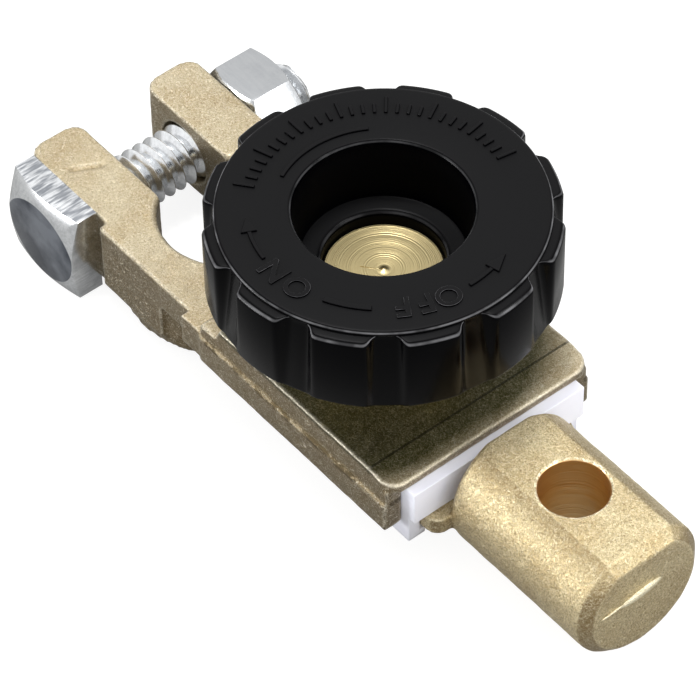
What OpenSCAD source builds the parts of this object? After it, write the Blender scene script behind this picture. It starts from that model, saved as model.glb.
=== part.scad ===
// Battery disconnect switch: a cast post clamp, a turned contact screw in a moulded knob, and a cable post
// Millimetres. Origin on the battery post axis at the clamp underside, X to the cable post, Z up

/* [Battery post clamp] */
// bore for the battery post, diameter
post_bore_d = 18; // [16:0.1:19]
// height of the clamp ring and ears
clamp_h = 11.5; // [10:0.1:14]
// outer diameter of the clamp ring
ring_d = 28.1; // [27:0.1:28.2]
// chamfer at the top of the bore
bore_lead = 0.5; // [0.2:0.1:1]
// width of the gap between the ears
ear_gap = 10.4; // [6:0.1:11]
// width over the two ears
ear_w = 26; // [24:0.1:27]
// distance from the post axis to the ear ends
ear_reach = 24.4; // [23:0.1:28]
// width over the arms beside the post
arm_w = 28.4; // [28.4:0.1:29]
// height of the arm sides above the round ring foot
arm_side_z = 1.2; // [0.5:0.1:3]
// distance from the post axis to the step between ears and arms
arm_step = 8; // [7.6:0.1:8.2]
// corner radius of the ears
ear_corner_r = 2; // [0.5:0.1:2.6]

/* [Contact plate] */
// distance from the post axis to the knob axis
knob_x = 30; // [29:0.1:32]
// distance from the knob axis to the plate end
plate_reach = 19.7; // [18:0.1:21]
// width of the plate
plate_w = 30.9; // [30:0.1:32]
// top of the plate above the clamp underside
plate_top = 15; // [14.5:0.1:16]
// thickness of the plate
plate_t = 1.9; // [1.5:0.1:2.2]
// corner radius of the plate end
plate_corner_r = 2.2; // [1:0.1:4]
// length of the sloping strip at the plate end
strip_l = 4.1; // [2:0.1:5]
// drop of the sloping strip
strip_drop = 0.3; // [0.1:0.1:0.6]
// length of the sloped riser between ring and plate
riser_l = 1.6; // [0.5:0.1:3]
// thickness of the side skirts
skirt_t = 2.3; // [1.8:0.1:2.3]
// bottom of the skirts above the clamp underside
skirt_z = 6.8; // [6.4:0.1:7.5]
// top of the lower skirt band
ledge_z = 11.1; // [10:0.1:12]
// how far the lower skirt band stands out
ledge_out = 0.35; // [0.1:0.05:0.8]
// setback of the skirt ends behind the plate end
skirt_back = 0.8; // [0.2:0.1:2]

/* [Insulator] */
// thickness of the insulator block
block_t = 5; // [4:0.1:5.5]
// how far the block stands out beyond the plate end
block_out = 1.3; // [0.5:0.1:3]
// thickness of the insulator side walls
wall_t = 1.7; // [1.2:0.1:2]
// bottom of the side walls above the clamp underside
wall_z = 4; // [3.5:0.1:4.3]
// inward reach of the lips under the tang
lip_in = 0.8; // [0.4:0.1:1.2]
// wall of the collar around the screw
collar_t = 1.6; // [1.2:0.1:1.8]
// setback of the collar top below the plate top
collar_back = 0.3; // [0.2:0.1:0.8]

/* [Cable post] */
// diameter of the round post
barrel_d = 18.2; // [18:0.1:19.4]
// height of the post axis above the clamp underside
barrel_z = 8.6; // [8.4:0.1:9]
// height of the flat above the post axis
flat_h = 7.8; // [7:0.1:8.5]
// distance from the plate end to the start of the round post
barrel_gap = 2.6; // [2:0.1:4]
// length of the round post
barrel_l = 24; // [22:0.1:28]
// chamfer of the round post end
barrel_chamfer = 1.4; // [0.6:0.1:2]
// distance from the post end to the cable bolt hole axis
cable_hole_back = 12.4; // [11:0.1:15]
// diameter of the cable bolt hole
cable_hole_d = 8.5; // [8.4:0.1:9]
// thickness of the tang under the insulator
tang_t = 2.4; // [2:0.1:2.8]
// diameter of the tapped boss under the tang
boss_d = 18; // [17:0.1:20]
// bottom of the tapped boss above the clamp underside
boss_z = 1; // [0.5:0.1:2]

/* [Contact screw] */
// diameter of the screw shank
shank_d = 12; // [11:0.1:12.4]
// bottom of the shank above the clamp underside
shank_z = 0.3; // [0:0.1:0.9]
// diameter of the contact flange
flange_d = 21.2; // [20.6:0.1:24]
// thickness of the contact flange
flange_t = 3; // [2:0.1:4]
// diameter of the column inside the knob
column_d = 14.5; // [13:0.1:16]
// top of the column above the clamp underside
column_top = 25.5; // [25:0.1:26.5]

/* [Knob] */
// outer diameter over the lobes
knob_d = 42.2; // [41:0.1:44]
// diameter of the top face and flute bottoms
top_d = 39.4; // [38:0.1:41]
// underside of the lobed rim above the clamp underside
rim_z = 24.6; // [24.6:0.1:26]
// height of the lobed rim
rim_h = 11; // [10:0.1:13]
// drop of the lobe tops below the top face
lobe_drop = 0.3; // [0.2:0.1:1]
// chamfer of the lobe tops
lobe_chamfer = 0.6; // [0.3:0.1:1]
// number of lobes
lobe_n = 12; // [10:1:14]
// angular width of a flute
flute_deg = 10.5; // [6:0.5:14]
// how far the flute floors lie inside the top face edge
flute_in = 0.15; // [0.1:0.05:0.5]
// angle of the first lobe from X
lobe_phase = 6.2; // [0:0.1:30]
// diameter of the recess at the top
recess_d = 21.4; // [20:0.1:23]
// diameter of the recess at its floor
recess_floor_d = 19.6; // [18:0.1:20]
// depth of the recess
recess_h = 8.3; // [7.5:0.1:8.5]
// diameter of the hub under the rim
hub_d = 21; // [20:0.1:21.6]
// wall left outside the underside pocket
pocket_wall = 2.6; // [2:0.1:3.5]
// depth of the underside pocket
pocket_h = 8; // [4:0.1:8.4]

/* [Clamp bolt and nut] */
// diameter of the clamp bolt
bolt_d = 8; // [7.5:0.1:8]
// distance from the post axis to the bolt axis
bolt_back = 16.5; // [16.4:0.1:16.8]
// height of the bolt axis above the clamp underside
bolt_z = 5.2; // [5.2:0.1:6]
// width of the square head across its flats
head_af = 13; // [12:0.1:13.4]
// thickness of the square head
head_h = 4.4; // [4:0.1:6]
// chamfer circle of the square head, share of the width
head_round = 0.97; // [0.85:0.01:1]
// slope of the head chamfer, drop per run
head_slope = 0.3; // [0.2:0.01:0.6]
// length of the thread past the nut
bolt_past = 3.2; // [1:0.1:6]
// width of the nut across its flats
nut_af = 13.5; // [12.6:0.1:13.8]
// thickness of the nut
nut_h = 7.3; // [6:0.1:7.5]

/* [Fits] */
// radial running clearance of turned fits
run_clear = 0.05; // [0.03:0.01:0.08]
// radial clearance of the bolt in the ears
bolt_clear = 0.4; // [0.3:0.05:0.5]
// clearance around the insulator walls
wall_clear = 0.1; // [0.05:0.05:0.2]
// radial clearance around the insulator collar
collar_clear = 0.3; // [0.3:0.05:0.4]

/* [Hidden] */
$fn = 96;
eps = 0.01;
// plate starts this far past the ring
ring_margin = 2;
// root of the plate and of the skirts buried in the ring
plate_root = 6;
skirt_root = 2.2;
// stations of the flare, before and past the plate start
flare_from = 5;
flare_to = 2.4;
flare_past = 1.4;
// insulator end wall past the plate start, and its thickness
liner_gap = 2.6;
liner_end = 1.2;
// side walls of the insulator past the plate end
wall_past = 0.3;
// thickness of the lips under the tang
lip_t = 0.9;
// overlap of the arms with the ring and of the tang with the barrel
arm_lap = 4;
tang_lap = 0.4;
// corner radius of the tang
tang_corner_r = 1.8;
// edge breaks of turned and moulded pieces
edge_break = 0.4;
column_edge = 0.3;
shank_edge = 1;
barrel_edge = 0.8;
thread_edge = 0.8;
// chamfer circle of the nut, share of its width, and the chamfer slope
nut_round = 0.95;
nut_slope = 0.577;
// clear room round the hub inside the underside pocket
hub_room = 2;
plate_x = knob_x + plate_reach;
plate_start = ring_d / 2 + ring_margin;
inner_w = plate_w - 2 * skirt_t;
block_top = plate_top - plate_t;
block_z = block_top - block_t;
wall_outer = inner_w / 2 - wall_clear;
wall_inner = wall_outer - wall_t;
tang_hw = wall_inner - wall_clear;
collar_in_r = shank_d / 2 + collar_clear;
collar_out_r = collar_in_r + collar_t;
plate_hole_r = collar_out_r + wall_clear;
barrel_x0 = plate_x + barrel_gap;
barrel_x1 = barrel_x0 + barrel_l;
cable_x = barrel_x1 - cable_hole_back;
liner_x0 = plate_start + liner_gap;
tang_x0 = liner_x0 + liner_end;
tapped_r = shank_d / 2 + run_clear;
knob_top = rim_z + rim_h;
recess_z = knob_top - recess_h;
lobe_top = knob_top - lobe_drop;
hub_z = plate_top + flange_t + run_clear;

// which sub-part to draw

brass = [0.80, 0.72, 0.52];
nylon = [0.90, 0.89, 0.93];
black = [0.10, 0.10, 0.10];
steel = [0.75, 0.77, 0.80];

// flat outline with rounded corners at the far end only
module end_rounded(x0, x1, hw, r) {
    union() {
        translate([x0, -hw]) square([x1 - x0 - r, 2 * hw]);
        translate([x0, -hw + r]) square([x1 - x0, 2 * hw - 2 * r]);
        for (s = [-1, 1]) {
            translate([x1 - r, s * (hw - r)]) circle(r);
        }
    }
}

// one ear with rounded end corners, reaching past the bore
module ear(s) {
    w = (ear_w - ear_gap) / 2;
    translate([0, s * (ear_gap + w) / 2, 0])
        rotate([0, 0, 180])
            linear_extrude(clamp_h)
                end_rounded(0, ear_reach, w / 2, ear_corner_r);
}

// ring, arms and ears with their tops level
module clamp_solid() {
    cylinder(h = clamp_h, d = ring_d);
    for (s = [-1, 1]) {
        ear(s);
    }
    translate([-arm_step, -arm_w / 2, arm_side_z])
        cube([arm_step + arm_lap, arm_w, clamp_h - arm_side_z]);
    translate([0, -arm_w / 2, skirt_z])
        cube([plate_start, arm_w, clamp_h - skirt_z]);
}

// plate with its sloping end strip, seen from the side, cut to its outline
module plate_solid() {
    x0 = plate_start + riser_l;
    intersection() {
        translate([0, 1.5 * plate_w / 2, 0])
            rotate([90, 0, 0])
                linear_extrude(1.5 * plate_w)
                    polygon([
                        [plate_start - plate_root, skirt_z],
                        [plate_start - plate_root, clamp_h],
                        [plate_start, clamp_h],
                        [x0, plate_top],
                        [plate_x - strip_l, plate_top],
                        [plate_x, plate_top - strip_drop],
                        [plate_x, block_top],
                        [liner_x0 - wall_clear, block_top],
                        [liner_x0 - wall_clear, skirt_z]
                    ]);
        linear_extrude(plate_top + 5)
            end_rounded(plate_start - plate_root, plate_x, plate_w / 2, plate_corner_r);
    }
}

// side skirts with the lower band standing out
module skirts() {
    x1 = plate_x - skirt_back;
    for (s = [-1, 1]) {
        translate([plate_start - skirt_root, s * (plate_w - skirt_t) / 2 - skirt_t / 2, skirt_z])
            cube([x1 - plate_start + skirt_root, skirt_t, block_top - skirt_z + eps]);
        translate([plate_start - skirt_root, s * (plate_w / 2 + ledge_out / 2 - 0.5) - ledge_out / 2 - 0.5, skirt_z])
            cube([x1 - plate_start + skirt_root, ledge_out + 1, ledge_z - skirt_z]);
    }
}

// flare that widens the arms to the plate
module flare() {
    translate([0, 0, skirt_z])
        linear_extrude(clamp_h - skirt_z)
            polygon([
                [plate_start - flare_from, -arm_w / 2],
                [plate_start - flare_to, -plate_w / 2],
                [plate_start + flare_past, -plate_w / 2],
                [plate_start + flare_past, plate_w / 2],
                [plate_start - flare_to, plate_w / 2],
                [plate_start - flare_from, arm_w / 2]
            ]);
}

// bore tool with a chamfer at its top
module post_bore() {
    r = post_bore_d / 2;
    rotate_extrude()
        polygon([
            [0, -1],
            [r, -1],
            [r, clamp_h - bore_lead],
            [r + bore_lead + 1, clamp_h + 1],
            [0, clamp_h + 1]
        ]);
}

// cast clamp, plate and skirts in one piece
module clamp_body() {
    color(brass)
        difference() {
            union() {
                clamp_solid();
                flare();
                plate_solid();
                skirts();
            }
            post_bore();
            translate([-ear_reach - 5, -ear_gap / 2, -1])
                cube([ear_reach + 5, ear_gap, clamp_h + 2]);
            translate([-bolt_back, ear_w, bolt_z])
                rotate([90, 0, 0])
                    cylinder(h = 2 * ear_w, r = bolt_d / 2 + bolt_clear);
            translate([knob_x, 0, block_top - 1])
                cylinder(h = plate_t + 2, r = plate_hole_r);
        }
}

// moulded insulator between the plate and the tang
module insulator() {
    x1 = plate_x + block_out;
    wall_x1 = plate_x + wall_past;
    color(nylon)
        difference() {
            union() {
                translate([liner_x0, -wall_outer, block_z])
                    cube([x1 - liner_x0, 2 * wall_outer, block_t]);
                translate([liner_x0, -wall_outer, wall_z])
                    cube([wall_x1 - liner_x0, 2 * wall_outer, block_z - wall_z + eps]);
                translate([knob_x, 0, block_top - eps])
                    cylinder(h = plate_t - collar_back + eps, r = collar_out_r);
            }
            translate([tang_x0 - wall_clear, -wall_inner, wall_z + lip_t])
                cube([x1 - tang_x0 + 5, 2 * wall_inner, block_z - wall_z - lip_t]);
            translate([tang_x0 - wall_clear, -wall_inner + lip_in, wall_z - 1])
                cube([x1 - tang_x0 + 5, 2 * (wall_inner - lip_in), block_z - wall_z]);
            translate([knob_x, 0, block_z - 1])
                cylinder(h = block_t + plate_t + 2, r = collar_in_r);
        }
}

// round post with a flat on top and a chamfered end
module barrel_solid() {
    r = barrel_d / 2;
    difference() {
        translate([barrel_x0, 0, barrel_z])
            rotate([0, 90, 0])
                rotate_extrude()
                    polygon([
                        [0, 0],
                        [r - barrel_edge, 0],
                        [r, barrel_edge],
                        [r, barrel_l - barrel_chamfer],
                        [r - barrel_chamfer, barrel_l],
                        [0, barrel_l]
                    ]);
        translate([barrel_x0 - 1, -barrel_d, barrel_z + flat_h])
            cube([barrel_l + 2, 2 * barrel_d, barrel_d]);
        translate([barrel_x1 - barrel_chamfer, -barrel_d, barrel_z + flat_h])
            rotate([0, 45, 0])
                cube([barrel_d, 2 * barrel_d, barrel_d]);
    }
}

// cast cable post with its tang and tapped boss
module cable_post() {
    tang_top = block_z - wall_clear;
    color(brass)
        difference() {
            union() {
                barrel_solid();
                translate([0, 0, tang_top - tang_t])
                    linear_extrude(tang_t)
                        end_rounded(tang_x0, barrel_x0 + tang_lap, tang_hw, tang_corner_r);
                translate([knob_x, 0, boss_z])
                    cylinder(h = tang_top - boss_z - 1, d = boss_d);
            }
            translate([cable_x, 0, barrel_z - barrel_d])
                cylinder(h = 2 * barrel_d, d = cable_hole_d);
            translate([knob_x, 0, boss_z - 1])
                cylinder(h = tang_top, r = tapped_r);
        }
}

// turned screw with its contact flange and the column held in the knob
module contact_screw() {
    color(brass)
        translate([knob_x, 0, 0])
            rotate_extrude()
                polygon([
                    [0, shank_z],
                    [shank_d / 2 - shank_edge, shank_z],
                    [shank_d / 2, shank_z + shank_edge],
                    [shank_d / 2, plate_top],
                    [flange_d / 2 - edge_break, plate_top],
                    [flange_d / 2, plate_top + edge_break],
                    [flange_d / 2, plate_top + flange_t - edge_break],
                    [flange_d / 2 - edge_break, plate_top + flange_t],
                    [column_d / 2, plate_top + flange_t],
                    [column_d / 2, column_top - column_edge],
                    [column_d / 2 - column_edge, column_top],
                    [0, column_top]
                ]);
}

// one flute tool, a wedge outside the flute floor circle
module flute(a) {
    ro = knob_d;
    h = flute_deg / 2;
    rotate([0, 0, a])
        translate([0, 0, rim_z - 1])
            linear_extrude(rim_h + 2)
                difference() {
                    polygon([[0, 0], [ro * cos(h), -ro * sin(h)], [ro * cos(h), ro * sin(h)]]);
                    circle(d = top_d - 2 * flute_in);
                }
}

// moulded knob: lobed rim, central recess, hub and underside pocket
module knob() {
    step = 360 / lobe_n;
    color(black)
        translate([knob_x, 0, 0])
            difference() {
                rotate_extrude()
                    polygon([
                        [0, hub_z],
                        [hub_d / 2, hub_z],
                        [hub_d / 2, rim_z],
                        [knob_d / 2 - edge_break, rim_z],
                        [knob_d / 2, rim_z + edge_break],
                        [knob_d / 2, lobe_top - lobe_chamfer],
                        [knob_d / 2 - lobe_chamfer, lobe_top],
                        [top_d / 2, lobe_top],
                        [top_d / 2, knob_top],
                        [0, knob_top]
                    ]);
                for (k = [0:lobe_n - 1]) {
                    flute(lobe_phase + step * (k + 0.5));
                }
                translate([0, 0, recess_z])
                    cylinder(h = recess_h + eps, d1 = recess_floor_d, d2 = recess_d);
                cylinder(h = knob_top, r = column_d / 2 + run_clear);
                rotate_extrude()
                    polygon([
                        [recess_d / 2 + hub_room, rim_z - 1],
                        [top_d / 2 - pocket_wall, rim_z - 1],
                        [top_d / 2 - pocket_wall, rim_z + pocket_h],
                        [recess_d / 2 + hub_room, rim_z + pocket_h]
                    ]);
            }
}

// square-head bolt with a coned head face and a plain shank
module clamp_bolt() {
    y0 = -ear_w / 2;
    y1 = ear_w / 2 + nut_h + bolt_past;
    rc = head_af * head_round / 2;
    drop = head_slope * (head_af - rc);
    color(steel)
        translate([-bolt_back, 0, bolt_z]) {
            intersection() {
                translate([-head_af / 2, y0 - head_h, -head_af / 2])
                    cube([head_af, head_h, head_af]);
                translate([0, y0 - head_h, 0])
                    rotate([-90, 0, 0])
                        rotate_extrude()
                            polygon([
                                [0, 0],
                                [rc, 0],
                                [head_af, drop],
                                [head_af, head_h + 1],
                                [0, head_h + 1]
                            ]);
            }
            translate([0, y0 - eps, 0])
                rotate([-90, 0, 0])
                    rotate_extrude()
                        polygon([
                            [0, 0],
                            [bolt_d / 2, 0],
                            [bolt_d / 2, y1 - y0 - thread_edge],
                            [bolt_d / 2 - thread_edge, y1 - y0],
                            [0, y1 - y0]
                        ]);
        }
}

// hexagon nut with both faces chamfered, one flat upward
module clamp_nut() {
    rc = nut_af * nut_round / 2;
    drop = nut_slope * (nut_af - rc);
    color(steel)
        translate([-bolt_back, ear_w / 2, bolt_z])
            rotate([-90, 0, 0])
                difference() {
                    intersection() {
                        linear_extrude(nut_h)
                            intersection_for(k = [0:2]) {
                                rotate(60 * k) square([3 * nut_af, nut_af], center = true);
                            }
                        rotate_extrude()
                            polygon([
                                [0, 0],
                                [rc, 0],
                                [nut_af, drop],
                                [nut_af, nut_h - drop],
                                [rc, nut_h],
                                [0, nut_h]
                            ]);
                    }
                    translate([0, 0, -1])
                        cylinder(h = nut_h + 2, r = bolt_d / 2 + run_clear);
                }
}

clamp_body();
insulator();
cable_post();
contact_screw();
knob();
clamp_bolt();
clamp_nut();
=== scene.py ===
import math

import bpy
import numpy as np
from mathutils import Matrix, Vector


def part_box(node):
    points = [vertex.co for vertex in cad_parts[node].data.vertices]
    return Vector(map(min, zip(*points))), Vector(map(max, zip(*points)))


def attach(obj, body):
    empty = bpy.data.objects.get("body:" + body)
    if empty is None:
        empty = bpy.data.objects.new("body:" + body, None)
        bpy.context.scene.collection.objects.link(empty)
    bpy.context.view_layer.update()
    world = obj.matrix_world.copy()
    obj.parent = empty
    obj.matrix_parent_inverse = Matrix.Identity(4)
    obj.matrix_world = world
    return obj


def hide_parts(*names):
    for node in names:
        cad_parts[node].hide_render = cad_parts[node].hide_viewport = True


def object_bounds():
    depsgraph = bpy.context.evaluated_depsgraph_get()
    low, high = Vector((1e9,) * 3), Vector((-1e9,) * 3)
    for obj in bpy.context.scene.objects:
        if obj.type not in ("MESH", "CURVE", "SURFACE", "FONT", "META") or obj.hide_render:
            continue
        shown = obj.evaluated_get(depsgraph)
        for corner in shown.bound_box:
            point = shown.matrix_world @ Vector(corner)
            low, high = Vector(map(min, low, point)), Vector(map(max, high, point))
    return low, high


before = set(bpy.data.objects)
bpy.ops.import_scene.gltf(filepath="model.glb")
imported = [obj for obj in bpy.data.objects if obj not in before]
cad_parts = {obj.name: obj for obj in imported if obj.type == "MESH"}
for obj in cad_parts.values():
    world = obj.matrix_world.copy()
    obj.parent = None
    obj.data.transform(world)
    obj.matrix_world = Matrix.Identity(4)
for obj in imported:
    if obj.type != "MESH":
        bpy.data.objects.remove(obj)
cad_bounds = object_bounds()

# The clamp body is one brass casting: split ring, two ears, a raised plate and side skirts.
# It was sand cast and tumbled, so every edge is soft and the skin is covered in fine short
# scratches; it is made from the CAD solid, remeshed so that its edges round over.
MM = 0.001


def linear(hex_colour):
    """sRGB hex colour as linear RGBA."""
    channels = [int(hex_colour[k:k + 2], 16) / 255 for k in (1, 3, 5)]
    return [c / 12.92 if c <= 0.04045 else ((c + 0.055) / 1.055) ** 2.4 for c in channels] + [1.0]


def pick(*objects):
    """Selects these objects alone and makes the first one active."""
    bpy.ops.object.select_all(action="DESELECT")
    for one in objects:
        one.select_set(True)
    bpy.context.view_layer.objects.active = objects[0]


def cad_copy(node_name, name):
    """New object with a merged copy of a CAD node's mesh and no material."""
    piece = bpy.data.objects.new(name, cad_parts[node_name].data.copy())
    bpy.context.scene.collection.objects.link(piece)
    piece.data.materials.clear()
    pick(piece)
    bpy.ops.object.mode_set(mode="EDIT")
    bpy.ops.mesh.select_all(action="SELECT")
    bpy.ops.mesh.remove_doubles(threshold=0.001 * MM)
    bpy.ops.object.mode_set(mode="OBJECT")
    return piece


def modify(piece, kind, **settings):
    """Adds one modifier with its settings and applies it."""
    modifier = piece.modifiers.new(kind.lower(), kind)
    for key, value in settings.items():
        setattr(modifier, key, value)
    pick(piece)
    bpy.ops.object.modifier_apply(modifier=modifier.name)


def boolean(piece, tool, operation):
    """Cuts, joins or keeps with another object, which is then removed."""
    modify(piece, "BOOLEAN", operation=operation, object=tool, solver="EXACT")
    bpy.data.objects.remove(tool)


def settle(piece):
    """Puts an object's place into its mesh."""
    pick(piece)
    bpy.ops.object.transform_apply(location=True, rotation=True, scale=True)


def rounded_bar(name, centre, size, turn=(0, 0, 0), bevel=0.3):
    """A bar with bevelled edges, sizes in mm, turned about its centre in degrees."""
    bpy.ops.object.select_all(action="DESELECT")
    bpy.ops.mesh.primitive_cube_add(size=1, location=[c * MM for c in centre],
                                    rotation=[math.radians(a) for a in turn])
    bar = bpy.context.object
    bar.name = name
    bar.scale = [s * MM for s in size]
    settle(bar)
    modify(bar, "BEVEL", width=bevel * MM, segments=2)
    return bar


def mark_wear(piece, values):
    """Stores how much each point of a casting stands out: 1 on edges, 0.5 on flats, 0 in corners."""
    wear = piece.data.attributes.new("wear", "FLOAT", "POINT")
    wear.data.foreach_set("value", np.asarray(values, dtype=np.float32))


def cast_skin(piece, voxel, rounding):
    """Remeshes a casting, rounds its edges by smoothing and gives it a slightly wavy skin."""
    modify(piece, "REMESH", mode="VOXEL", voxel_size=voxel * MM)
    count = len(piece.data.vertices) * 3
    sharp, soft, normal = (np.empty(count, dtype=np.float32) for _ in range(3))
    piece.data.vertices.foreach_get("co", sharp)
    modify(piece, "SMOOTH", factor=0.5, iterations=rounding)
    piece.data.vertices.foreach_get("co", soft)
    piece.data.vertices.foreach_get("normal", normal)
    rubbed_off = ((sharp - soft) * normal).reshape(-1, 3).sum(axis=1)
    mark_wear(piece, 0.5 + np.clip(rubbed_off / (0.3 * MM), -0.5, 0.5))
    for name, size, depth in (("cast_waves", 3.6, 0.12), ("cast_dimples", 1.0, 0.05)):
        texture = bpy.data.textures.new(name, "CLOUDS")
        texture.noise_scale = size * MM
        texture.noise_depth = 2
        modify(piece, "DISPLACE", texture=texture, strength=depth * MM, mid_level=0.5,
               texture_coords="LOCAL")
    pick(piece)
    bpy.ops.object.shade_smooth()


def node(tree, kind, inputs=None, out=0, stops=None, **settings):
    """Adds a node with its settings and, for a ramp, its stops; each input is a value or the
    socket that feeds it. Gives back one output socket."""
    made = tree.nodes.new("ShaderNode" + kind)
    for key, value in settings.items():
        setattr(made, key, value)
    for key, value in (inputs or {}).items():
        if isinstance(value, bpy.types.NodeSocket):
            tree.links.new(value, made.inputs[key])
        else:
            made.inputs[key].default_value = value
    for k, (position, shade) in enumerate(stops or ()):
        element = made.color_ramp.elements[k] if k < 2 else made.color_ramp.elements.new(position)
        element.position = position
        element.color = (shade, shade, shade, 1)
    return made.outputs[out] if made.outputs else made


def start_finish(name):
    """New material: its tree, its shader's inputs and the piece's own coordinates."""
    material = bpy.data.materials.new(name)
    material.use_nodes = True
    tree = material.node_tree
    return material, tree, tree.nodes["Principled BSDF"].inputs, node(tree, "TexCoord", out="Object")


def from_axis(tree, place, x, y):
    """Distance of each point from an upright line through x and y."""
    away = node(tree, "VectorMath", {0: place, 1: (x, y, 0)}, operation="SUBTRACT")
    flat = node(tree, "VectorMath", {0: away, 1: (1, 1, 0)}, operation="MULTIPLY")
    return node(tree, "VectorMath", {0: flat}, out="Value", operation="LENGTH")


# Where the clamp's finish changes, in mm: the plate is darkened round the knob by painted shade
# and reflection of the knob, full up to one radius from a centre and gone at another, the crease
# crosses the plate, and the ledge runs along the skirts.
PLATE_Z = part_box("clamp_body")[1].z / MM
SHADE_X, SHADE_Y, SHADE_FULL_R, SHADE_END_R = 28, -3, 21.5, 26.5
SHADE_DEPTH = 0.9
CREASE_X, CREASE_HALF_W = 45.6, 0.15
RIM_DEPTH = 2.0
LEDGE_Z, LEDGE_HALF_W, SKIRT_START_X = 11.1, 0.45, 15


# Tumbled cast brass is a pale warm metal with a dull sheen and a grain of short curled
# scratches, brighter where the tumbling rubbed the edges and brown in the corners. Faces that
# turn sideways may take painted shade. The grain is 0.24 mm, about twice as coarse as the real
# one, so that it shows.
def tumbled_brass(name, base, shade, worn, dirt_and_shade, side_shade=0.0, bore=None, marks_and_shade=False):
    material, tree, shader, place = start_finish(name)
    grain = node(tree, "TexNoise", {"Vector": place, "Scale": 1 / (0.24 * MM), "Detail": 3,
                                    "Roughness": 0.75, "Distortion": 1.2})
    curl = node(tree, "TexNoise", {"Vector": place, "Scale": 1 / (0.9 * MM), "Detail": 1, "Distortion": 2.5})
    beside = node(tree, "Math", {0: node(tree, "Math", {0: curl, 1: 0.5}, operation="SUBTRACT")},
                  operation="ABSOLUTE")
    scratch = node(tree, "ValToRGB", {0: beside}, stops=((0.0, 1.0), (0.022, 0.0)))
    cloud = node(tree, "TexNoise", {"Vector": place, "Scale": 1 / (5 * MM), "Detail": 4, "Roughness": 0.65})
    patch = node(tree, "ValToRGB", {0: cloud}, stops=((0.40, 0.0), (0.64, 0.8)))
    tone = node(tree, "Mix", {0: patch, 6: linear(base), 7: linear(shade)}, out=2, data_type="RGBA")
    facing = node(tree, "SeparateXYZ", {0: node(tree, "NewGeometry", out="Normal")}, out="Z")
    # Faces that turn sideways are darkened by the given share: painted shade.
    painted_side_shade = node(tree, "MapRange", {0: facing, 1: 0.25, 2: 0.75, 3: side_shade, 4: 0.0})
    tone = node(tree, "Mix", {0: painted_side_shade, 6: tone, 7: linear("#6E6048")}, out=2, data_type="RGBA")
    if bore:
        # The shoulders beside the flat and the rounding of the end are coloured duller: painted shade
        # that tones down their highlights.
        outward = node(tree, "SeparateXYZ", {0: node(tree, "NewGeometry", out="Normal")}, out="X")
        shoulder = node(tree, "ValToRGB", {0: facing},
                        stops=((0.62, 0.0), (0.82, 0.5), (0.93, 0.5), (0.98, 0.0)))
        along_side = node(tree, "MapRange", {0: outward, 1: 0.15, 2: 0.35, 3: 1.0, 4: 0.0})
        shoulder = node(tree, "Math", {0: shoulder, 1: along_side}, operation="MULTIPLY")
        rounding = node(tree, "ValToRGB", {0: outward},
                        stops=((0.30, 0.0), (0.45, 0.75), (0.82, 0.75), (0.94, 0.0)))
        low_down = node(tree, "MapRange", {0: facing, 1: 0.35, 2: 0.60, 3: 1.0, 4: 0.0})
        rounding = node(tree, "Math", {0: rounding, 1: low_down}, operation="MULTIPLY")
        painted_shoulder_shade = node(tree, "Math", {0: shoulder, 1: rounding}, operation="MAXIMUM")
        tone = node(tree, "Mix", {0: painted_shoulder_shade, 6: tone, 7: linear(dirt_and_shade)}, out=2, data_type="RGBA")
    flecks = 0.85 if bore else 0.65
    fleck = node(tree, "ValToRGB", {0: grain}, stops=((0.37, flecks), (0.55, 0.0)))
    tone = node(tree, "Mix", {0: fleck, 6: tone, 7: linear(dirt_and_shade)}, out=2, data_type="RGBA")
    glint = node(tree, "ValToRGB", {0: grain}, stops=((0.56, 0.0), (0.68, flecks - 0.2)))
    shine = node(tree, "Math", {0: scratch, 1: 0.8}, operation="MULTIPLY")
    shine = node(tree, "Math", {0: shine, 1: glint}, operation="MAXIMUM")
    tone = node(tree, "Mix", {0: shine, 6: tone, 7: linear(worn)}, out=2, data_type="RGBA")
    if marks_and_shade:
        # The plate round the knob is darkened by painted shade and reflection of the knob, and a dark
        # line runs along the crease across it.
        radius = from_axis(tree, place, SHADE_X * MM, SHADE_Y * MM)
        close = node(tree, "MapRange", {0: radius, 1: SHADE_FULL_R * MM, 2: SHADE_END_R * MM, 3: 1.0, 4: 0.0})
        along = node(tree, "SeparateXYZ", {0: place}, out="X")
        level = node(tree, "SeparateXYZ", {0: place}, out="Z")
        on_top = node(tree, "MapRange", {0: level, 1: (PLATE_Z - SHADE_DEPTH) * MM,
                                         2: (PLATE_Z - SHADE_DEPTH / 3) * MM})
        uneven = node(tree, "MapRange", {0: cloud, 1: 0.3, 2: 0.7, 3: 0.93, 4: 1.0})
        speck = node(tree, "MapRange", {0: grain, 1: 0.48, 2: 0.62, 3: 1.0, 4: 0.82})
        painted_knob_shade = node(tree, "Math", {0: close, 1: uneven}, operation="MULTIPLY")
        painted_knob_shade = node(tree, "Math", {0: painted_knob_shade, 1: speck}, operation="MULTIPLY")
        crease = node(tree, "Math", {0: along, 1: CREASE_X * MM, 2: CREASE_HALF_W * MM}, operation="COMPARE")
        crease = node(tree, "Math", {0: crease, 1: on_top}, operation="MULTIPLY")
        crease = node(tree, "Math", {0: crease, 1: 0.7}, operation="MULTIPLY")
        painted_knob_shade = node(tree, "Math", {0: painted_knob_shade, 1: on_top}, operation="MULTIPLY")
        tone = node(tree, "Mix", {0: painted_knob_shade, 6: tone, 7: linear("#333316")}, out=2, data_type="RGBA")
        tone = node(tree, "Mix", {0: crease, 6: tone, 7: linear("#1A1C10")}, out=2, data_type="RGBA")
    edge = node(tree, "Attribute", out="Fac", attribute_name="wear")
    broken = node(tree, "MapRange", {0: grain, 1: 0.40, 2: 0.58, 3: 0.40, 4: 1.0})
    if marks_and_shade:
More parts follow.
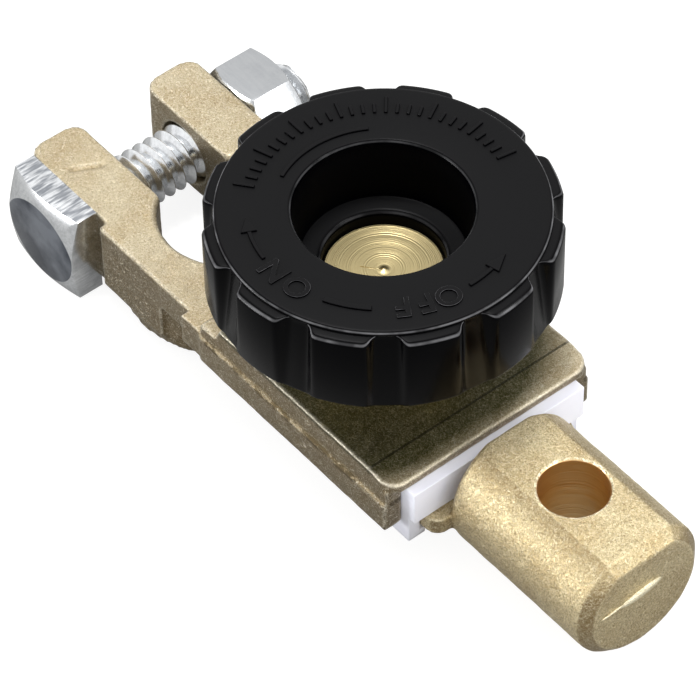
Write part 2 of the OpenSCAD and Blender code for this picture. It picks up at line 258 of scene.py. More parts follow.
        # Dark patches break up the bright lines along the edges below the plate's rim and along
        # the ledge.
        below_rim = node(tree, "MapRange", {0: level, 1: (PLATE_Z - RIM_DEPTH) * MM,
                                            2: (PLATE_Z - 0.6 * RIM_DEPTH) * MM, 3: 1.0, 4: 0.0})
        missed = node(tree, "MapRange", {0: curl, 1: 0.44, 2: 0.56, 3: 1.0, 4: 0.0})
        missed = node(tree, "Math", {0: below_rim, 1: missed}, operation="MULTIPLY")
        sharp_edge = node(tree, "ValToRGB", {0: edge}, stops=((0.57, 0.0), (0.68, 0.9)))
        missed = node(tree, "Math", {0: sharp_edge, 1: missed}, operation="MULTIPLY")
        on_ledge = node(tree, "Math", {0: level, 1: LEDGE_Z * MM, 2: LEDGE_HALF_W * MM}, operation="COMPARE")
        past_ring = node(tree, "Math", {0: along, 1: SKIRT_START_X * MM}, operation="GREATER_THAN")
        on_ledge = node(tree, "Math", {0: on_ledge, 1: past_ring}, operation="MULTIPLY")
        filled = node(tree, "Math", {0: curl, 1: 0.35, 2: cloud}, operation="MULTIPLY_ADD")
        filled = node(tree, "MapRange", {0: filled, 1: 0.66, 2: 0.73, 3: 0.9, 4: 0.0})
        on_ledge = node(tree, "Math", {0: on_ledge, 1: filled}, operation="MULTIPLY")
        missed = node(tree, "Math", {0: missed, 1: on_ledge}, operation="MAXIMUM")
    wear_and_highlight = node(tree, "ValToRGB", {0: edge}, stops=((0.53, 0.0), (0.72, 1.0)))
    wear_and_highlight = node(tree, "Math", {0: wear_and_highlight, 1: broken}, operation="MULTIPLY")
    tone = node(tree, "Mix", {0: wear_and_highlight, 6: tone, 7: linear(worn)}, out=2, data_type="RGBA")
    if marks_and_shade:
        tone = node(tree, "Mix", {0: missed, 6: tone, 7: linear("#5A4D36")}, out=2, data_type="RGBA")
    corner = node(tree, "ValToRGB", {0: edge}, stops=((0.10, 0.8), (0.44, 0.0)))
    tone = node(tree, "Mix", {0: corner, 6: tone, 7: linear(dirt_and_shade)}, out=2, data_type="RGBA")
    height = node(tree, "Math", {0: scratch, 1: 0.35, 2: grain}, operation="MULTIPLY_ADD")
    rough = node(tree, "MapRange", {0: grain, 1: 0.3, 2: 0.7, 3: 0.40, 4: 0.28})
    if bore:
        # The bore shows the drill's rings and fresh brass, with a torn burr round its mouth.
        bore_x, bore_y, bore_r = bore
        radius = from_axis(tree, place, bore_x * MM, bore_y * MM)
        inside = node(tree, "Math", {0: radius, 1: bore_r * MM}, operation="LESS_THAN")
        drawn = node(tree, "VectorMath", {0: place, 1: (60, 60, 1 / (0.3 * MM))}, operation="MULTIPLY")
        rings = node(tree, "TexNoise", {"Vector": drawn, "Scale": 1.0, "Detail": 2})
        bored = node(tree, "Mix", {0: rings, 6: linear("#E2B878"), 7: linear("#FFE3AE")}, out=2,
                     data_type="RGBA")
        burr = node(tree, "Math", {0: radius, 1: (bore_r + 0.10) * MM, 2: 0.16 * MM}, operation="COMPARE")
        torn = node(tree, "ValToRGB", {0: curl}, stops=((0.46, 0.0), (0.56, 1.0)))
        burr = node(tree, "Math", {0: burr, 1: torn}, operation="MULTIPLY")
        upward = node(tree, "MapRange", {0: facing, 1: 0.2, 2: 0.5})
        burr = node(tree, "Math", {0: burr, 1: upward}, operation="MULTIPLY")
        tone = node(tree, "Mix", {0: inside, 6: tone, 7: bored}, out=2, data_type="RGBA")
        tone = node(tree, "Mix", {0: burr, 6: tone, 7: linear(worn)}, out=2, data_type="RGBA")
        height = node(tree, "Mix", {0: inside, 2: height, 3: rings})
    bump = node(tree, "Bump", {"Height": height, "Strength": 1.0, "Distance": 0.09 * MM})
    tree.links.new(tone, shader["Base Color"])
    tree.links.new(rough, shader["Roughness"])
    tree.links.new(bump, shader["Normal"])
    shader["Metallic"].default_value = 1.0
    return material


EAR_TOP = 11.5
STRIP_SLOPE = 8
clamp_body = cad_copy("clamp_body", "clamp_body_casting")
minus_mark = rounded_bar("minus_mark", (-17.2, -9.1, EAR_TOP), (4.4, 0.9, 0.9), (0, 0, 62), 0.2)
boolean(clamp_body, minus_mark, "DIFFERENCE")
strip_slope = rounded_bar("strip_slope", (CREASE_X + 4.1, 0, 15.43), (8, 40, 2), (0, STRIP_SLOPE, 0), 0.05)
boolean(clamp_body, strip_slope, "DIFFERENCE")
cast_skin(clamp_body, 0.28, 5)
clamp_body.data.materials.append(
    tumbled_brass("tumbled_cast_brass_clamp", "#CABD9F", "#B5A27F", "#FBF3DF", "#7D6A48", side_shade=0.8,
                  marks_and_shade=True))
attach(clamp_body, "clamp")
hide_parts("clamp_body")


# The insulator is a white moulded nylon tray that lies under the plate, wraps the tang of the
# cable post and keeps it off the clamp. It is pressed in between the skirts. Nylon is milky and
# half matt, so light bleeds a little through its edges.
def moulded_nylon():
    material, tree, shader, place = start_finish("moulded_nylon")
    haze = node(tree, "TexNoise", {"Vector": place, "Scale": 1 / (4 * MM), "Detail": 2})
    colour = node(tree, "Mix", {0: haze, 6: linear("#F4F5FF"), 7: linear("#EBECFA")}, out=2, data_type="RGBA")
    skin = node(tree, "TexNoise", {"Vector": place, "Scale": 1 / (0.5 * MM), "Detail": 2})
    bump = node(tree, "Bump", {"Height": skin, "Strength": 0.3, "Distance": 0.03 * MM})
    tree.links.new(colour, shader["Base Color"])
    tree.links.new(bump, shader["Normal"])
    shader["Roughness"].default_value = 0.42
    shader["IOR"].default_value = 1.53
    shader["Subsurface Weight"].default_value = 0.2
    shader["Subsurface Radius"].default_value = (1.0, 0.95, 1.0)
    shader["Subsurface Scale"].default_value = 0.8 * MM
    return material


insulator = cad_copy("insulator", "insulator_moulding")
modify(insulator, "BEVEL", width=0.18 * MM, segments=2, limit_method="ANGLE", angle_limit=math.radians(35))
pick(insulator)
bpy.ops.object.shade_smooth_by_angle(angle=math.radians(35))
insulator.data.materials.append(moulded_nylon())
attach(insulator, "clamp")
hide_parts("insulator")

# The cable post is a second brass casting: a round post with a flat on top, drilled for the
# cable bolt, whose tang runs back under the insulator to the tapped boss. Its end face keeps two
# slim flashes from the mould, each a long lens that stands proud of the casting.
POST_HOLE = (63.9, 0.0, 4.34)
cable_post = cad_copy("cable_post", "cable_post_casting")
cast_skin(cable_post, 0.22, 4)
post_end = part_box("cable_post")[1].x / MM
flashes = []
for low, high, width, rise in (((-6.8, 9.35), (-3.2, 9.6), 0.30, 0.26),
                               ((-3.8, 9.3), (2.7, 10.0), 1.35, 0.50)):
    run = math.hypot(high[0] - low[0], high[1] - low[1])
    bpy.ops.object.select_all(action="DESELECT")
    bpy.ops.mesh.primitive_uv_sphere_add(
        segments=24, ring_count=12, radius=0.5 * MM,
        location=((post_end - 0.10) * MM, (low[0] + high[0]) / 2 * MM, (low[1] + high[1]) / 2 * MM))
    flash = bpy.context.object
    flash.name = "end_flash"
    flash.scale = (2 * rise, run, width)
    flash.rotation_euler = (math.atan2(high[1] - low[1], high[0] - low[0]), 0, 0)
    settle(flash)
    bpy.ops.object.shade_smooth()
    mark_wear(flash, [0.9] * len(flash.data.vertices))
    flashes.append(flash)
pick(cable_post, *flashes)
bpy.ops.object.join()
cable_post.data.materials.append(
    tumbled_brass("tumbled_cast_brass_post", "#E0CFA4", "#C9B386", "#FFF6D8", "#87704A", bore=POST_HOLE))
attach(cable_post, "clamp")
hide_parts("cable_post")


# The contact screw is turned from brass bar: a threaded shank, a flange that presses on the
# plate and a column that stands in the knob. The lathe left fine rings 0.16 mm apart on its
# slightly dished end face, a small tip at the centre and a bright fan of light across it.
def turned_brass(axis):
    material, tree, shader, place = start_finish("turned_brass")
    radius = from_axis(tree, place, *axis)
    turns = node(tree, "Math", {0: radius, 1: 1 / (0.16 * MM)}, operation="MULTIPLY")
    rings = node(tree, "TexNoise", {"W": turns, "Scale": 1.0, "Detail": 1}, noise_dimensions="1D")
    colour = node(tree, "Mix", {0: rings, 6: linear("#DCCD9C"), 7: linear("#CAB583")}, out=2, data_type="RGBA")
    bump = node(tree, "Bump", {"Height": rings, "Strength": 1.0, "Distance": 0.024 * MM})
    tree.links.new(colour, shader["Base Color"])
    tree.links.new(bump, shader["Normal"])
    shader["Metallic"].default_value = 1.0
    shader["Roughness"].default_value = 0.32
    return material


def lathe(name, axis, corners, sides):
    """Turns a section, (radius, height) corners in mm, by extruding a disc from corner to
    corner; a section that ends where it began is welded into a ring, but its first disc stays."""
    radius, height = corners[0]
    bpy.ops.object.select_all(action="DESELECT")
    bpy.ops.mesh.primitive_circle_add(vertices=sides, radius=radius * MM, fill_type="NGON",
                                      location=(axis[0], axis[1], height * MM))
    piece = bpy.context.object
    piece.name = name
    bpy.ops.object.mode_set(mode="EDIT")
    bpy.ops.mesh.select_mode(type="FACE")
    bpy.ops.mesh.select_all(action="SELECT")
    for next_radius, next_height in corners[1:]:
        bpy.ops.mesh.extrude_region_move(
            TRANSFORM_OT_translate={"value": (0, 0, (next_height - height) * MM)})
        scale = next_radius / radius
        bpy.ops.transform.resize(value=(scale, scale, 1),
                                 center_override=(axis[0], axis[1], next_height * MM))
        radius, height = next_radius, next_height
    if corners[0] == corners[-1]:
        bpy.ops.mesh.delete(type="FACE")
    bpy.ops.mesh.select_all(action="SELECT")
    bpy.ops.mesh.remove_doubles(threshold=0.002 * MM)
    bpy.ops.mesh.normals_make_consistent(inside=False)
    bpy.ops.object.mode_set(mode="OBJECT")
    settle(piece)
    return piece


def rolled_thread(name, crest, root, pitch, low, high, phase=0.0):
    """Threaded rod along Z: one pitch of the thread's outline, screwed on and cut square."""
    bpy.ops.object.select_all(action="DESELECT")
    bpy.ops.mesh.primitive_plane_add(size=1)
    rod = bpy.context.object
    rod.name = name
    bpy.ops.object.mode_set(mode="EDIT")
    bpy.ops.mesh.select_mode(type="VERT")
    bpy.ops.mesh.select_all(action="SELECT")
    bpy.ops.mesh.merge(type="CENTER")
    outline = ((crest - 0.03, 0.0), (crest, 0.06), (crest - 0.03, 0.12), (root + 0.10, 0.48),
               (root, 0.56), (root + 0.10, 0.64), (crest - 0.03, 1.0))
    place = Vector((0, 0, 0))
    for k, (radius, share) in enumerate(outline):
        target = Vector((radius * MM, 0, share * pitch * MM))
        if k:
            bpy.ops.mesh.extrude_region_move(TRANSFORM_OT_translate={"value": target - place})
        else:
            bpy.ops.transform.translate(value=target - place)
        place = target
    bpy.ops.object.mode_set(mode="OBJECT")
    modify(rod, "SCREW", axis="Z", angle=2 * math.pi, screw_offset=pitch * MM,
           iterations=int((high - low) / pitch) + 4, steps=40, render_steps=40,
           use_merge_vertices=True, merge_threshold=0.002 * MM)
    rod.location = (0, 0, (low - 2 * pitch + phase) * MM)
    settle(rod)
    bpy.ops.object.mode_set(mode="EDIT")
    bpy.ops.mesh.select_all(action="SELECT")
    bpy.ops.mesh.remove_doubles(threshold=0.002 * MM)
    for level_z, far_side in ((low, False), (high, True)):
        bpy.ops.mesh.select_all(action="SELECT")
        bpy.ops.mesh.bisect(plane_co=(0, 0, level_z * MM), plane_no=(0, 0, 1), use_fill=True,
                            clear_inner=not far_side, clear_outer=far_side)
    bpy.ops.mesh.select_all(action="SELECT")
    bpy.ops.mesh.normals_make_consistent(inside=False)
    bpy.ops.object.mode_set(mode="OBJECT")
    return rod


KNOB_AXIS = (30.0 * MM, 0.0)
screw_low, screw_high = (corner.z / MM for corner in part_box("contact_screw"))
flange_r = (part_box("contact_screw")[1].x - KNOB_AXIS[0]) / MM
plate_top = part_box("clamp_body")[1].z / MM
SHANK_R = 6.0
COLUMN_R = 7.25
FLANGE_H = 3.0
DISH = 0.30
contact_screw = lathe("contact_screw_turned", KNOB_AXIS, [
    (flange_r - 0.4, plate_top), (flange_r, plate_top + 0.4), (flange_r, plate_top + FLANGE_H - 0.4),
    (flange_r - 0.4, plate_top + FLANGE_H), (COLUMN_R, plate_top + FLANGE_H),
    (COLUMN_R, screw_high - 0.25), (COLUMN_R - 0.25, screw_high), (0.8, screw_high - DISH),
    (0.6, screw_high - DISH), (0.28, screw_high - DISH + 0.14), (0.05, screw_high - DISH + 0.20)], 96)
scratch_mark = rounded_bar("scratch_mark", (28.9, -0.95, screw_high - DISH + 0.06), (2.7, 0.12, 0.2),
                           (0, 0, 41), 0.02)
boolean(contact_screw, scratch_mark, "DIFFERENCE")
shank = rolled_thread("shank_thread", SHANK_R, 5.2, 1.75, screw_low, plate_top + 0.3)
shank.location = (*KNOB_AXIS, 0)
settle(shank)
pick(contact_screw, shank)
bpy.ops.object.join()
pick(contact_screw)
bpy.ops.object.shade_smooth_by_angle(angle=math.radians(35))
contact_screw.data.materials.append(turned_brass(KNOB_AXIS))
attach(contact_screw, "screw")
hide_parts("contact_screw")


# The knob is compression-moulded black phenolic with twelve lobes, a deep recess over the screw
# and raised turning marks. Its top came from an etched mould face and is satin; the lobes and the
# recess are glossier, and grey on the upper edges stands in for their thin highlights.
def black_phenolic():
    material, tree, shader, place = start_finish("black_phenolic")
    grain = node(tree, "TexNoise", {"Vector": place, "Scale": 1 / (0.25 * MM), "Detail": 2})
    facing = node(tree, "SeparateXYZ", {0: node(tree, "NewGeometry", out="Normal")}, out="Z")
    top = node(tree, "ValToRGB", {0: facing}, stops=((0.90, 0.0), (0.985, 1.0)))
    radius = from_axis(tree, place, *KNOB_AXIS)
    recess = node(tree, "MapRange", {0: radius, 1: 10.5 * MM, 2: 10.7 * MM, 3: 1.0, 4: 0.0})
    wall = node(tree, "MapRange", {0: facing, 1: 0.15, 2: 0.35, 3: 1.0, 4: 0.0})
    dull = node(tree, "Math", {0: recess, 1: wall}, operation="MULTIPLY")
    dull = node(tree, "Math", {0: top, 1: dull}, operation="MAXIMUM")
    colour = node(tree, "Mix", {0: top, 6: linear("#010102"), 7: linear("#111112")}, out=2, data_type="RGBA")
    # Grey on the upward-slanting outer edges, broken into patches, is a painted highlight.
    slant = node(tree, "ValToRGB", {0: facing}, stops=((0.44, 0.0), (0.58, 1.0), (0.74, 1.0), (0.88, 0.0)))
    outer = node(tree, "MapRange", {0: radius, 1: 12 * MM, 2: 13 * MM, 3: 0.3, 4: 1.0})
    highlight_patches = node(tree, "TexNoise", {"Vector": place, "Scale": 1 / (2.5 * MM), "Detail": 2})
    highlight_patches = node(tree, "MapRange", {0: highlight_patches, 1: 0.38, 2: 0.62, 3: 0.25, 4: 1.0})
    wear_and_highlight = node(tree, "Math", {0: slant, 1: outer}, operation="MULTIPLY")
    wear_and_highlight = node(tree, "Math", {0: wear_and_highlight, 1: highlight_patches}, operation="MULTIPLY")
    colour = node(tree, "Mix", {0: wear_and_highlight, 6: colour, 7: linear("#626264")}, out=2, data_type="RGBA")
    rough = node(tree, "MapRange", {0: dull, 3: 0.20, 4: 0.44})
    bump = node(tree, "Bump", {"Height": grain, "Strength": 0.25, "Distance": 0.02 * MM})
    tree.links.new(colour, shader["Base Color"])
    tree.links.new(rough, shader["Roughness"])
    tree.links.new(bump, shader["Normal"])
    shader["Specular IOR Level"].default_value = 0.06
    return material


def select_where(piece, kind, test):
    """In edit mode, selects only the faces or the vertices whose place passes a test."""
    bpy.ops.mesh.select_mode(type=kind)
    bpy.ops.mesh.select_all(action="DESELECT")
    bpy.ops.object.mode_set(mode="OBJECT")
    if kind == "FACE":
        for face in piece.data.polygons:
            face.select = test(face)
    else:
        for vertex in piece.data.vertices:
            vertex.select = test(vertex.co)
    bpy.ops.object.mode_set(mode="EDIT")


LOBES = 12
STEP = 360 / LOBES
SIDES = 576
COLUMN = 360 / SIDES
LOBE_PHASE = 10 * COLUMN
RIM_Z, KNOB_TOP = 24.6, 35.85
FLOOR_R = 19.6
FOOT_R = 20.8
RECESS_Z = 27.3
# The flutes run out towards the foot. A lobe stands out of the flute floor by these mm up to each
# height, and by these shares of that at each mesh column from the last full one outwards.
LOBE_RISES = ((RIM_Z + 0.46, 0.28), (34.50, 1.50), (34.85, 1.40), (35.10, 1.14), (35.20, 0.75))
LOBE_SHARES = (1.0, 0.97, 0.89, 0.71, 0.42, 0.20, 0.08, 0.02)
FULL_COLUMNS = 12


def from_lobe(co):
    """Mesh columns between a point and the middle of the nearest lobe."""
    angle = math.degrees(math.atan2(co.y - KNOB_AXIS[1], co.x - KNOB_AXIS[0])) - LOBE_PHASE
    return abs((angle + STEP / 2) % STEP - STEP / 2) / COLUMN


def reach(co):
    """Distance from the knob axis in mm."""
    return math.hypot(co.x - KNOB_AXIS[0], co.y - KNOB_AXIS[1]) / MM


knob = lathe("knob_moulding", KNOB_AXIS, [
    (17.1, RIM_Z), (FOOT_R - 0.45, RIM_Z), (FOOT_R - 0.13, RIM_Z + 0.13), (FOOT_R, RIM_Z + 0.45),
    *((FLOOR_R, level) for level, _ in LOBE_RISES[1:]), (FLOOR_R, 35.24),
    (FLOOR_R + 0.08, KNOB_TOP - 0.42), (FLOOR_R + 0.02, KNOB_TOP - 0.24), (FLOOR_R - 0.12, KNOB_TOP - 0.10),
    (FLOOR_R - 0.32, KNOB_TOP - 0.03), (FLOOR_R - 0.55, KNOB_TOP),
    (15.0, KNOB_TOP), (11.15, KNOB_TOP), (10.95, KNOB_TOP - 0.04), (10.76, KNOB_TOP - 0.16),
    (10.66, KNOB_TOP - 0.32), (10.60, KNOB_TOP - 0.55),
    (9.95, RECESS_Z + 0.4), (9.84, RECESS_Z + 0.12), (9.5, RECESS_Z),
    (8.1, RECESS_Z), (7.72, RECESS_Z - 0.08), (7.42, RECESS_Z - 0.34), (7.32, RECESS_Z - 0.7),
    (7.3, 18.4), (7.6, 18.05), (10.1, 18.05), (10.5, 18.45), (10.5, 24.4), (10.7, RIM_Z),
    (12.5, RIM_Z), (12.7, RIM_Z + 0.2), (12.8, 32.3), (13.1, 32.6), (16.8, 32.6), (17.1, 32.3),
    (17.1, RIM_Z)], SIDES)
pick(knob)
bpy.ops.object.mode_set(mode="EDIT")
low = RIM_Z - 0.1
for high, rise in LOBE_RISES:
    for k, share in enumerate(LOBE_SHARES):
        first, last = (0 if k == 0 else FULL_COLUMNS + k), FULL_COLUMNS + k
        select_where(knob, "VERT", lambda co: low < co.z / MM < high + 0.01 and reach(co) > 19
                     and first - 0.5 < from_lobe(co) < last + 0.5)
        scale = 1 + rise * share / FLOOR_R
        bpy.ops.transform.resize(value=(scale, scale, 1), center_override=(*KNOB_AXIS, 0))
    low = high + 0.01
bpy.ops.mesh.select_all(action="SELECT")
bpy.ops.mesh.normals_make_consistent(inside=False)
bpy.ops.object.mode_set(mode="OBJECT")
bpy.ops.object.shade_smooth_by_angle(angle=math.radians(40))
phenolic = black_phenolic()
knob.data.materials.append(phenolic)
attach(knob, "hand_knob")
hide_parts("knob")

# The turning marks stand 0.25 mm proud of the knob, moulded with it: the words ON and OFF, an
# arrow beside each, a dash between them, and plain scale ticks round the rest of the ring.
MARK_RISE = 0.25
MARK_R = 15.85
marks = []


def twin(piece):
    """A copy of a piece with its own mesh."""
    made = bpy.data.objects.new(piece.name, piece.data.copy())
    bpy.context.scene.collection.objects.link(made)
    return made


def set_on_ring(piece, radius, degrees):
    """Stands a mark drawn round the origin on the knob top, its top edge outwards."""
    turn = math.radians(degrees)
    piece.location = (KNOB_AXIS[0] + radius * MM * math.cos(turn),
                      KNOB_AXIS[1] + radius * MM * math.sin(turn), KNOB_TOP * MM)
    piece.rotation_euler = (0, 0, turn - math.pi / 2)
    settle(piece)
    marks.append(piece)


def raised_letter(letter):
    """One moulded capital, 2.7 mm high, round the origin."""
    bpy.ops.object.select_all(action="DESELECT")
    bpy.ops.object.text_add(location=(0, 0, 0))
    text = bpy.context.object
    text.data.body = letter
    text.data.size = 4.1 * MM
    text.data.align_x = "CENTER"
    text.data.align_y = "CENTER"
    text.data.offset = 0.03 * MM
    text.data.extrude = (MARK_RISE - 0.06) * MM
    text.data.bevel_depth = 0.06 * MM
    text.data.bevel_resolution = 1
    text.data.resolution_u = 5
    bpy.ops.object.convert(target="MESH")
    return bpy.context.object


def raised_strip(name, radius, start, end, width):
    """A flat strip along the ring from one angle to another, with bevelled edges."""
    bpy.ops.object.select_all(action="DESELECT")
    bpy.ops.mesh.primitive_cube_add(size=1, location=(radius * MM, 0, 0))
    strip = bpy.context.object
    strip.name = name
    strip.scale = (width * MM, 0.001 * MM, 2 * MARK_RISE * MM)
    settle(strip)
    bpy.ops.object.mode_set(mode="EDIT")
    select_where(strip, "FACE", lambda face: face.normal.y > 0.9)
    bpy.ops.mesh.spin(steps=max(2, int((end - start) / 1.5)), angle=math.radians(start - end),
                      center=(0, 0, 0), axis=(0, 0, 1))
    bpy.ops.mesh.select_mode(type="VERT")
    bpy.ops.mesh.select_all(action="SELECT")
    bpy.ops.mesh.remove_doubles(threshold=0.004 * MM)
    bpy.ops.mesh.normals_make_consistent(inside=False)
    bpy.ops.object.mode_set(mode="OBJECT")
    modify(strip, "BEVEL", width=0.08 * MM, segments=2, limit_method="ANGLE", angle_limit=math.radians(50))
    strip.location = (KNOB_AXIS[0], KNOB_AXIS[1], KNOB_TOP * MM)
    strip.rotation_euler = (0, 0, math.radians(start))
    settle(strip)
    marks.append(strip)


def raised_arrow(start, tip, head):
    """A curved arrow on the ring: a strip for its shaft and a three-sided head, head mm long."""
    way = 1 if tip > start else -1
    degrees = math.degrees(head / MARK_R)
    neck = tip - way * degrees
    raised_strip("arrow_shaft", MARK_R, min(start, neck), max(start, neck), 0.5)
    bpy.ops.object.select_all(action="DESELECT")
    bpy.ops.mesh.primitive_cylinder_add(vertices=3, radius=2 / 3 * MM, depth=2 * MARK_RISE * MM)
    point = bpy.context.object
    point.name = "arrow_head"
    point.rotation_euler = (0, 0, way * math.radians(90))
    settle(point)
    point.scale = (head, 1.7, 1)
    settle(point)
    modify(point, "BEVEL", width=0.08 * MM, segments=2, limit_method="ANGLE", angle_limit=math.radians(50))
    set_on_ring(point, MARK_R, tip - way * degrees * 2 / 3)


letter_o, letter_n, letter_f = (raised_letter(one) for one in "ONF")
for letter, degrees in ((letter_o, -77.2), (letter_n, -90.4), (twin(letter_o), -12.1),
                        (letter_f, -21.8), (twin(letter_f), -31.4)):
    set_on_ring(letter, MARK_R, degrees)
raised_strip("dash", MARK_R + 0.15, -64.6, -44.2, 0.7)
raised_arrow(-98.5, -123.3, 2.3)
raised_arrow(-1.6, 21.6, 2.8)
TICKS = 29
short_tick = rounded_bar("short_tick", (0, 0, 0), (0.42, 1.5, 2 * MARK_RISE), bevel=0.08)
long_tick = rounded_bar("long_tick", (0, 0, 0), (0.42, 2.6, 2 * MARK_RISE), bevel=0.08)
for k in range(TICKS):
    pattern, radius = (long_tick, 16.5) if k % 4 == 0 else (short_tick, 15.95)
    set_on_ring(twin(pattern), radius, 80 + k * (218 - 80) / (TICKS - 1))
raised_strip("inner_dash", 12.7, 148, 208, 0.5)
for pattern in (short_tick, long_tick):
    bpy.data.objects.remove(pattern)
pick(*marks)
bpy.ops.object.join()
knob_marks = bpy.context.object
knob_marks.name = "knob_marks"
knob_marks.data.materials.clear()
knob_marks.data.materials.append(phenolic)
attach(knob_marks, "hand_knob")


# The clamp bolt is a zinc-plated steel bolt with a square head and a coarse rolled thread, which
# shows between the ears and past the nut. Bright zinc is a bluish mirror, drawn here with the
# faint streaks and grey clouds that handling leaves in it.
def bright_zinc(name, streak_axis, light, struck_face=None):
    material, tree, shader, place = start_finish(name)
    stretch = [1 / (0.40 * MM)] * 3
    stretch[streak_axis] = 1 / (3 * MM)
    drawn = node(tree, "VectorMath", {0: place, 1: stretch}, operation="MULTIPLY")
    streak = node(tree, "TexNoise", {"Vector": drawn, "Scale": 1.0, "Detail": 3})
    cloud = node(tree, "TexNoise", {"Vector": place, "Scale": 1 / (1.6 * MM), "Detail": 3, "Roughness": 0.6})
    murk = node(tree, "ValToRGB", {0: cloud}, stops=((0.46, 0.0), (0.72, 0.4)))
    line = node(tree, "ValToRGB", {0: streak}, stops=((0.40, 0.0), (0.60, 1.0)))
    facing = node(tree, "SeparateXYZ", {0: node(tree, "NewGeometry", out="Normal")}, out="Z")
    depth = node(tree, "SeparateXYZ", {0: place}, out="Y")
    on_head = node(tree, "Math", {0: depth, 1: HEAD_UNDER * MM}, operation="LESS_THAN")
    upward = node(tree, "MapRange", {0: facing, 1: 0.7, 2: 0.9, 3: 0.2, 4: 1.0})
    worn = node(tree, "Math", {0: on_head, 1: upward}, operation="MULTIPLY")
    worn = node(tree, "Math", {0: worn, 1: 0.12}, operation="MAXIMUM")
    line = node(tree, "Math", {0: line, 1: worn}, operation="MULTIPLY")
    colour = node(tree, "Mix", {0: line, 6: linear(light), 7: linear("#979BA1")}, out=2, data_type="RGBA")
    colour = node(tree, "Mix", {0: murk, 6: colour, 7: linear("#A8AAAE")}, out=2, data_type="RGBA")
    if struck_face is not None:
        struck = node(tree, "Math", {0: depth, 1: struck_face * MM}, operation="LESS_THAN")
        stain = node(tree, "TexNoise", {"Vector": place, "Scale": 1 / (5 * MM), "Detail": 4})
        stain = node(tree, "ValToRGB", {0: stain}, stops=((0.40, 0.0), (0.66, 1.0)))
        dull = node(tree, "Mix", {0: stain, 6: linear("#525761"), 7: linear("#989DA6")}, out=2,
                    data_type="RGBA")
        colour = node(tree, "Mix", {0: struck, 6: colour, 7: dull}, out=2, data_type="RGBA")
    bump = node(tree, "Bump", {"Height": streak, "Strength": 0.3, "Distance": 0.02 * MM})
    rough = node(tree, "MapRange", {0: murk, 3: 0.20, 4: 0.32})
    tree.links.new(colour, shader["Base Color"])
    tree.links.new(rough, shader["Roughness"])
    tree.links.new(bump, shader["Normal"])
    shader["Metallic"].default_value = 1.0
    return material


PITCH = 1.70
CREST_R = 4.0
ROOT_R = 2.85
BOLT_X, BOLT_Z = -16.5, 5.2
HEAD_UNDER = -13.0
THREAD_PHASE = 0.4
bolt_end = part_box("clamp_bolt")[1].y / MM


clamp_bolt = cad_copy("clamp_bolt", "clamp_bolt_forged")
boolean(clamp_bolt, rounded_bar("head_room", (BOLT_X, HEAD_UNDER - 10, BOLT_Z), (40, 20, 40)), "INTERSECT")
head_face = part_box("clamp_bolt")[0].y / MM
DISC_R, CONE_SLOPE, CORNER_R, DISC_DROP = 6.98, 0.40, 13.0, 2.2
blank = lathe("head_blank", (0, 0), [
    (DISC_R, 0), (CORNER_R, (CORNER_R - DISC_R) * CONE_SLOPE), (CORNER_R, HEAD_UNDER - head_face)], 96)
blank.rotation_euler = (math.radians(-90), 0, 0)
blank.location = (BOLT_X * MM, head_face * MM, (BOLT_Z - DISC_DROP) * MM)
settle(blank)
boolean(clamp_bolt, blank, "INTERSECT")
modify(clamp_bolt, "BEVEL", width=0.18 * MM, segments=2, limit_method="ANGLE", angle_limit=math.radians(25))
thread = rolled_thread("bolt_thread", CREST_R, ROOT_R, PITCH, HEAD_UNDER - 0.3, bolt_end, THREAD_PHASE)
thread.rotation_euler = (math.radians(-90), 0, 0)
thread.location = (BOLT_X * MM, 0, BOLT_Z * MM)
settle(thread)
pick(clamp_bolt, thread)
bpy.ops.object.join()
bpy.ops.object.shade_smooth_by_angle(angle=math.radians(32))
clamp_bolt.data.materials.append(bright_zinc("bright_zinc_bolt", 1, "#F2F4F6", head_face + 0.05))
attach(clamp_bolt, "clamp")
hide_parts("clamp_bolt")

# The nut is a plain zinc-plated hexagon nut, chamfered on both faces. It is screwed on the bolt
# outside the far ear, and its zinc is drawn greyer than the bolt's.
clamp_nut = cad_copy("clamp_nut", "clamp_nut_forged")
modify(clamp_nut, "BEVEL", width=0.15 * MM, segments=2, limit_method="ANGLE", angle_limit=math.radians(20))
pick(clamp_nut)
bpy.ops.object.shade_smooth_by_angle(angle=math.radians(25))
clamp_nut.data.materials.append(bright_zinc("bright_zinc_nut", 0, "#BEC0C2"))
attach(clamp_nut, "nut")
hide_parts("clamp_nut")


# The stage is a plain pale floor under soft studio light. Camera and transmission rays see the
# floor and the world as pale, reflections see the world so and the floor's glow in part, and the
# floor keeps the object's shadow.
def seen_directly(tree, in_gloss):
    """1 for camera and transmission rays, a share of it for reflections and 0 for other rays."""
    camera_ray = node(tree, "LightPath", out="Is Camera Ray")
    through = node(tree, "LightPath", out="Is Transmission Ray")
    glossy = node(tree, "LightPath", out="Is Glossy Ray")
    direct = node(tree, "Math", {0: camera_ray, 1: through}, operation="MAXIMUM")
    share = node(tree, "Math", {0: glossy, 1: in_gloss}, operation="MULTIPLY")
    return node(tree, "Math", {0: direct, 1: share}, operation="MAXIMUM")


bpy.ops.object.select_all(action="DESELECT")
bpy.ops.mesh.primitive_plane_add(size=4, location=(0, 0, cad_bounds[0].z - 0.02 * MM))
floor = bpy.context.object
floor.name = "floor"
paper = bpy.data.materials.new("white_paper")
paper.use_nodes = True
tree = paper.node_tree
tree.nodes.clear()
matt = node(tree, "BsdfDiffuse", {"Color": linear("#868685")})
strength = node(tree, "Math", {0: seen_directly(tree, 0.14), 1: 0.86}, operation="MULTIPLY")
glow = node(tree, "Emission", {"Color": (1, 1, 1, 1), "Strength": strength})
node(tree, "OutputMaterial", {0: node(tree, "AddShader", {0: matt, 1: glow})})
floor.data.materials.append(paper)

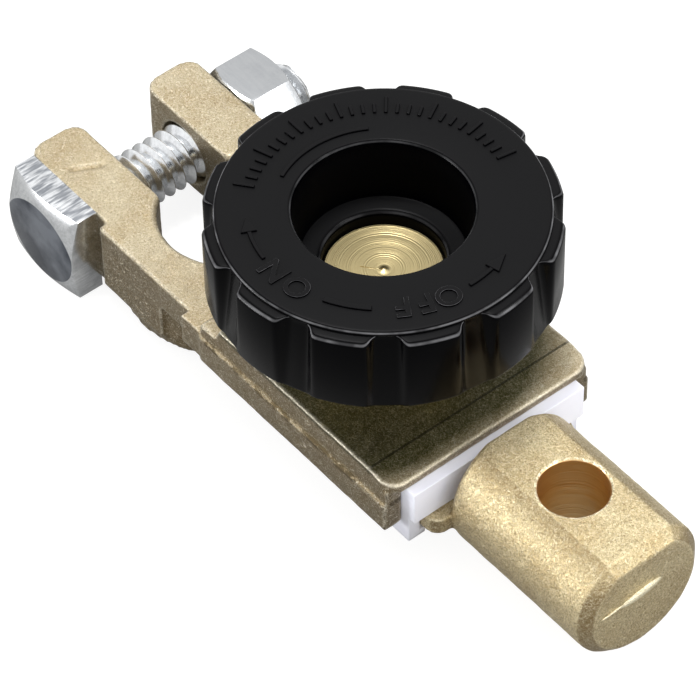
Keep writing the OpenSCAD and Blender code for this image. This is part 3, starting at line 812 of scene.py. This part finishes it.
world = bpy.data.worlds.new("studio")
bpy.context.scene.world = world
world.use_nodes = True
tree = world.node_tree
tree.nodes.clear()
ambient = node(tree, "Background", {"Color": (1, 1, 1, 1), "Strength": 1.05})
white = node(tree, "Background", {"Color": (1, 1, 1, 1), "Strength": 1.0})
node(tree, "OutputWorld", {0: node(tree, "MixShader", {0: seen_directly(tree, 1.0), 1: ambient, 2: white})})

aim = Vector((30 * MM, 0, 10 * MM))


def softbox(name, direction, distance, size, radiance):
    """Square area light of this radiance, aimed at the object."""
    data = bpy.data.lights.new(name, "AREA")
    data.shape = "SQUARE"
    data.size = size
    data.energy = radiance * math.pi * size * size
    lamp = bpy.data.objects.new(name, data)
    bpy.context.scene.collection.objects.link(lamp)
    lamp.location = aim + Vector(direction).normalized() * distance
    lamp.rotation_euler = (aim - lamp.location).to_track_quat("-Z", "Y").to_euler()


softbox("low_front", (-0.50, -0.86, 0.10), 0.45, 0.15, 18.0)
softbox("overhead", (-0.22, 0.04, 0.97), 0.60, 0.11, 42.0)
softbox("back_right", (0.38, 0.41, 0.80), 0.50, 0.12, 8.0)
softbox("fill_right", (0.80, 0.35, 0.30), 0.50, 0.30, 3.8)

# The camera stands where the fitted one does, at the photograph's viewing angle. FOCAL_PIXELS is
# the fitted focal length on a picture FRAME_PIXELS wide.
AZIMUTH, ELEVATION, ROLL = (math.radians(a) for a in (51.647, 48.133, -1.347))
DISTANCE, SHIFT_X, SHIFT_Y = 493.232 * MM, -4.140 * MM, -2.587 * MM
FOCAL_PIXELS = 4152.403
FRAME_PIXELS = 700
SENSOR = 36.0
LOOK_FROM = Vector((30 * MM, 0, 15 * MM))
back = Vector((math.sin(AZIMUTH) * math.cos(ELEVATION), -math.cos(AZIMUTH) * math.cos(ELEVATION),
               math.sin(ELEVATION)))
level = Vector((math.cos(AZIMUTH), math.sin(AZIMUTH), 0))
upright = back.cross(level)
right = level * math.cos(ROLL) + upright * math.sin(ROLL)
up = upright * math.cos(ROLL) - level * math.sin(ROLL)
camera_data = bpy.data.cameras.new("camera")
camera_data.sensor_width = SENSOR
camera_data.lens = FOCAL_PIXELS / FRAME_PIXELS * SENSOR
camera_data.clip_start = 0.01
camera = bpy.data.objects.new("camera", camera_data)
bpy.context.scene.collection.objects.link(camera)
turned = Matrix((right, up, back)).transposed().to_4x4()
stand = LOOK_FROM + back * DISTANCE + right * SHIFT_X + up * SHIFT_Y
camera.matrix_world = Matrix.Translation(stand) @ turned
bpy.context.scene.camera = camera
bpy.context.scene.view_settings.view_transform = "Standard"
